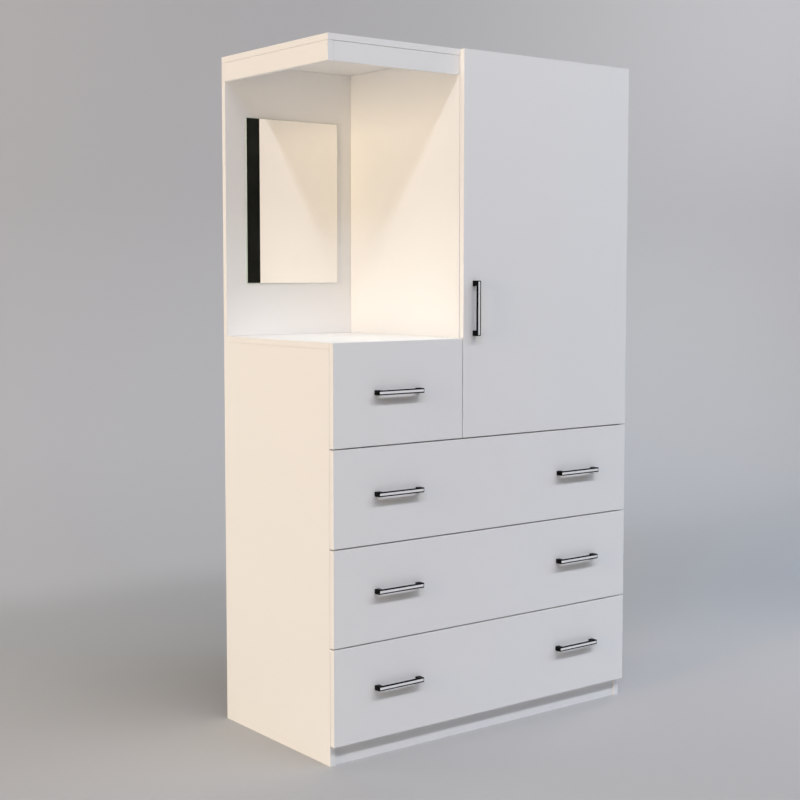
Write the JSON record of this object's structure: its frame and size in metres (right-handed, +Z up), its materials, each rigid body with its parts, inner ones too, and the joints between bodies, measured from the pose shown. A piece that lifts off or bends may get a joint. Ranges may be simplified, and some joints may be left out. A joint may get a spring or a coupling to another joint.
{
  "type": "chifforobe",
  "caption": "White board chifforobe with wide drawers below, a cupboard with one door at the right, and an open mirror niche over a small drawer at the left.",
  "frame": {"origin": "on the floor, under the middle of the footprint with the handles", "axes": "+Z up along the height, -Y towards the fronts, +X to the right seen from the front"},
  "size_m": [1.02, 0.535, 1.8],
  "materials": {
    "white_board": "satin",
    "thin_sheet": "matte",
    "black_metal": "satin",
    "mirror_glass": "polished",
    "bright_steel": "satin"
  },
  "bodies": {
    "carcass": {"left_side_panel": "white_board", "right_side_panel": "white_board", "bottom_panel": "white_board", "middle_panel": "white_board", "divider_panel": "white_board", "niche_shelf_panel": "white_board", "top_panel": "white_board", "niche_back_panel": "white_board", "canopy_side_rail": "white_board", "canopy_front_rail": "white_board", "drawer_back_sheet": "thin_sheet", "small_drawer_back_sheet": "thin_sheet", "wardrobe_back_sheet": "thin_sheet", "front_plinth": "white_board", "rear_plinth": "white_board", "mirror": "mirror_glass", "hanging_rail": "bright_steel", "bottom_drawer_left_runner": "bright_steel", "bottom_drawer_right_runner": "bright_steel", "lower_drawer_left_runner": "bright_steel", "lower_drawer_right_runner": "bright_steel", "middle_drawer_left_runner": "bright_steel", "middle_drawer_right_runner": "bright_steel", "small_drawer_left_runner": "bright_steel", "small_drawer_right_runner": "bright_steel", "lower_hinge_arm": "bright_steel", "upper_hinge_arm": "bright_steel"},
    "bottom_drawer": {"bottom_drawer_front": "white_board", "bottom_drawer_left_side": "white_board", "bottom_drawer_right_side": "white_board", "bottom_drawer_back": "white_board", "bottom_drawer_bottom": "thin_sheet", "bottom_drawer_left_handle": "black_metal", "bottom_drawer_right_handle": "black_metal"},
    "lower_drawer": {"lower_drawer_front": "white_board", "lower_drawer_left_side": "white_board", "lower_drawer_right_side": "white_board", "lower_drawer_back": "white_board", "lower_drawer_bottom": "thin_sheet", "lower_drawer_left_handle": "black_metal", "lower_drawer_right_handle": "black_metal"},
    "middle_drawer": {"middle_drawer_front": "white_board", "middle_drawer_left_side": "white_board", "middle_drawer_right_side": "white_board", "middle_drawer_back": "white_board", "middle_drawer_bottom": "thin_sheet", "middle_drawer_left_handle": "black_metal", "middle_drawer_right_handle": "black_metal"},
    "small_drawer": {"small_drawer_front": "white_board", "small_drawer_left_side": "white_board", "small_drawer_right_side": "white_board", "small_drawer_back": "white_board", "small_drawer_bottom": "thin_sheet", "small_drawer_handle": "black_metal"},
    "door": {"door_panel": "white_board", "door_handle": "black_metal", "lower_hinge_cup": "bright_steel", "upper_hinge_cup": "bright_steel"},
    "hinge_links": {"lower_hinge_link": "bright_steel", "upper_hinge_link": "bright_steel"}
  },
  "joints": [
    {"name": "bottom_drawer_slide", "type": "slide", "parent": "carcass", "child": "bottom_drawer", "axis": [0, -1, 0], "range_m": [0, 0.34]},
    {"name": "lower_drawer_slide", "type": "slide", "parent": "carcass", "child": "lower_drawer", "axis": [0, -1, 0], "range_m": [0, 0.34]},
    {"name": "middle_drawer_slide", "type": "slide", "parent": "carcass", "child": "middle_drawer", "axis": [0, -1, 0], "range_m": [0, 0.34]},
    {"name": "small_drawer_slide", "type": "slide", "parent": "carcass", "child": "small_drawer", "axis": [0, -1, 0], "range_m": [0, 0.34]},
    {"name": "door_swing", "type": "hinge", "parent": "carcass", "child": "door", "pos_m": [0.507, -0.2405, 1.298], "axis": [0, 0, 1], "range_deg": [0, 100]},
    {"name": "hinge_link_turn", "type": "hinge", "parent": "carcass", "child": "hinge_links", "pos_m": [0.489, -0.228, 1.298], "axis": [0, 0, 1], "range_deg": [0, 75]}
  ],
  "couplings": [
    {"joint": "hinge_link_turn", "follows": "door_swing", "ratio": 0.75}
  ]
}
